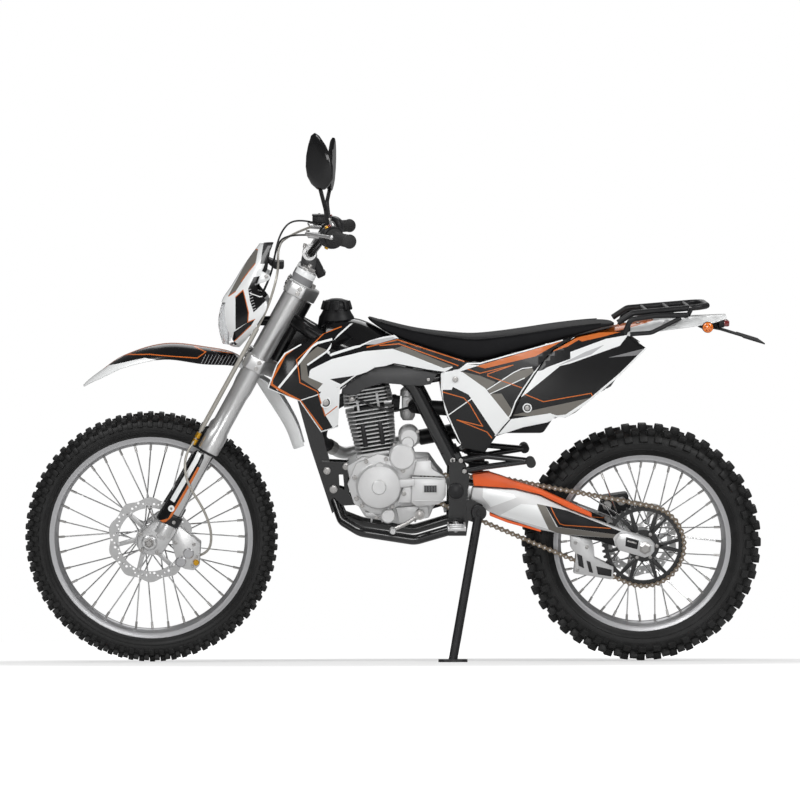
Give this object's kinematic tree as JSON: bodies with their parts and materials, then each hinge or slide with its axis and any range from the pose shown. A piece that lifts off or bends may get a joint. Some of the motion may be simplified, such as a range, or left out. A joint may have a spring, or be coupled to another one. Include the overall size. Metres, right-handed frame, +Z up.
{
  "type": "dual sport motorcycle",
  "caption": "Dual sport motorcycle with knobbly tyres, spoked wheels, long fork, headlight mask, slim seat, rear rack and a side stand it leans on.",
  "frame": {"origin": "bottom centre of the whole machine as it leans on its side stand", "axes": "+X towards the rear of the machine, -X forwards, -Y its left side where the stand is, +Z up"},
  "size_m": [2.0302, 0.8116, 1.4705],
  "materials": {
    "frame_black": "gloss",
    "engine_grey": "satin",
    "engine_light": "satin",
    "header_steel": "satin",
    "silencer_grey": "satin",
    "plastic_black": "matte",
    "motor_dark": "satin",
    "tank_black": "satin",
    "seat_black": "matte",
    "shroud_graphics": "gloss",
    "cover_graphics": "gloss",
    "tail_graphics": "gloss",
    "plastic_white": "gloss",
    "rack_black": "satin",
    "lamp_red": "gloss",
    "lamp_orange": "gloss",
    "swingarm_silver": "satin",
    "guide_orange": "matte",
    "shock_black": "satin",
    "chain_steel": "satin",
    "caliper_black": "satin",
    "peg_steel": "satin",
    "peg_black": "satin",
    "lever_steel": "satin",
    "stand_black": "satin",
    "clamp_silver": "satin",
    "fork_silver": "satin",
    "fork_chrome": "polished",
    "guard_black": "satin",
    "fender_graphics": "gloss",
    "mask_graphics": "gloss",
    "lens_clear": "clear",
    "bar_black": "satin",
    "grip_rubber": "matte",
    "control_black": "satin",
    "mirror_black": "gloss",
    "caliper_silver": "satin",
    "tyre_black": "matte",
    "rim_grey": "satin",
    "disc_steel": "satin",
    "sprocket_black": "satin",
    "knee_grey": "matte",
    "hose_grey": "satin",
    "cable_black": "satin"
  },
  "bodies": {
    "chassis": {"chain_guides": "guide_orange", "drive_chain": "chain_steel", "engine_block": "engine_grey", "engine_cylinder": "engine_light", "exhaust_pipe": "header_steel", "filler_cap": "plastic_black", "foot_controls": "lever_steel", "footpegs": "peg_steel", "fuel_tank": "tank_black", "intake": "plastic_black", "knee_covers": "knee_grey", "left_shroud": "shroud_graphics", "luggage_rack": "rack_black", "main_frame": "frame_black", "passenger_pegs": "peg_black", "plate_bracket": "plastic_black", "rear_caliper": "caliper_black", "rear_fender": "plastic_white", "rear_indicators": "lamp_orange", "right_shroud": "shroud_graphics", "seat": "seat_black", "shock_absorber": "shock_black", "side_covers": "cover_graphics", "silencer": "silencer_grey", "starter_motor": "motor_dark", "subframe": "frame_black", "swingarm": "swingarm_silver", "tail_lamp": "lamp_red", "tail_panels": "tail_graphics"},
    "steering": {"triple_clamps": "clamp_silver", "fork_upper_tubes": "fork_silver", "fork_lower_legs": "fork_chrome", "fork_guards": "guard_black", "front_fender": "fender_graphics", "headlight_mask": "mask_graphics", "headlight_lens": "lens_clear", "headlight_unit": "plastic_black", "handlebar": "bar_black", "grips": "grip_rubber", "hand_controls": "control_black", "mirrors": "mirror_black", "instrument": "plastic_black", "front_caliper": "caliper_silver", "brake_hose": "hose_grey", "cables": "cable_black"},
    "front_wheel_set": {"front_tyre": "tyre_black", "front_wheel": "rim_grey", "front_brake_disc": "disc_steel"},
    "rear_wheel_set": {"rear_tyre": "tyre_black", "rear_wheel": "rim_grey", "rear_brake_disc": "disc_steel", "rear_sprocket": "sprocket_black"},
    "stand": {"side_stand": "stand_black"}
  },
  "joints": [
    {"name": "steering", "type": "hinge", "parent": "chassis", "child": "steering", "pos_m": [-0.25168, 0.03152, 0.99186], "axis": [0.4848, -0.1519, 0.8613], "range_deg": [-40, 40]},
    {"name": "front_wheel", "type": "hinge", "parent": "steering", "child": "front_wheel_set", "pos_m": [-0.66741, 0.1455, 0.34549], "axis": [0, 0.9848, 0.1736], "continuous": true},
    {"name": "rear_wheel", "type": "hinge", "parent": "chassis", "child": "rear_wheel_set", "pos_m": [0.68459, 0.14845, 0.32875], "axis": [0, 0.9848, 0.1736], "continuous": true},
    {"name": "side_stand", "type": "hinge", "parent": "chassis", "child": "stand", "pos_m": [0.22959, -0.00992, 0.40338], "axis": [0.1169, -0.9923, -0.0414], "range_deg": [0, 121.5]}
  ]
}
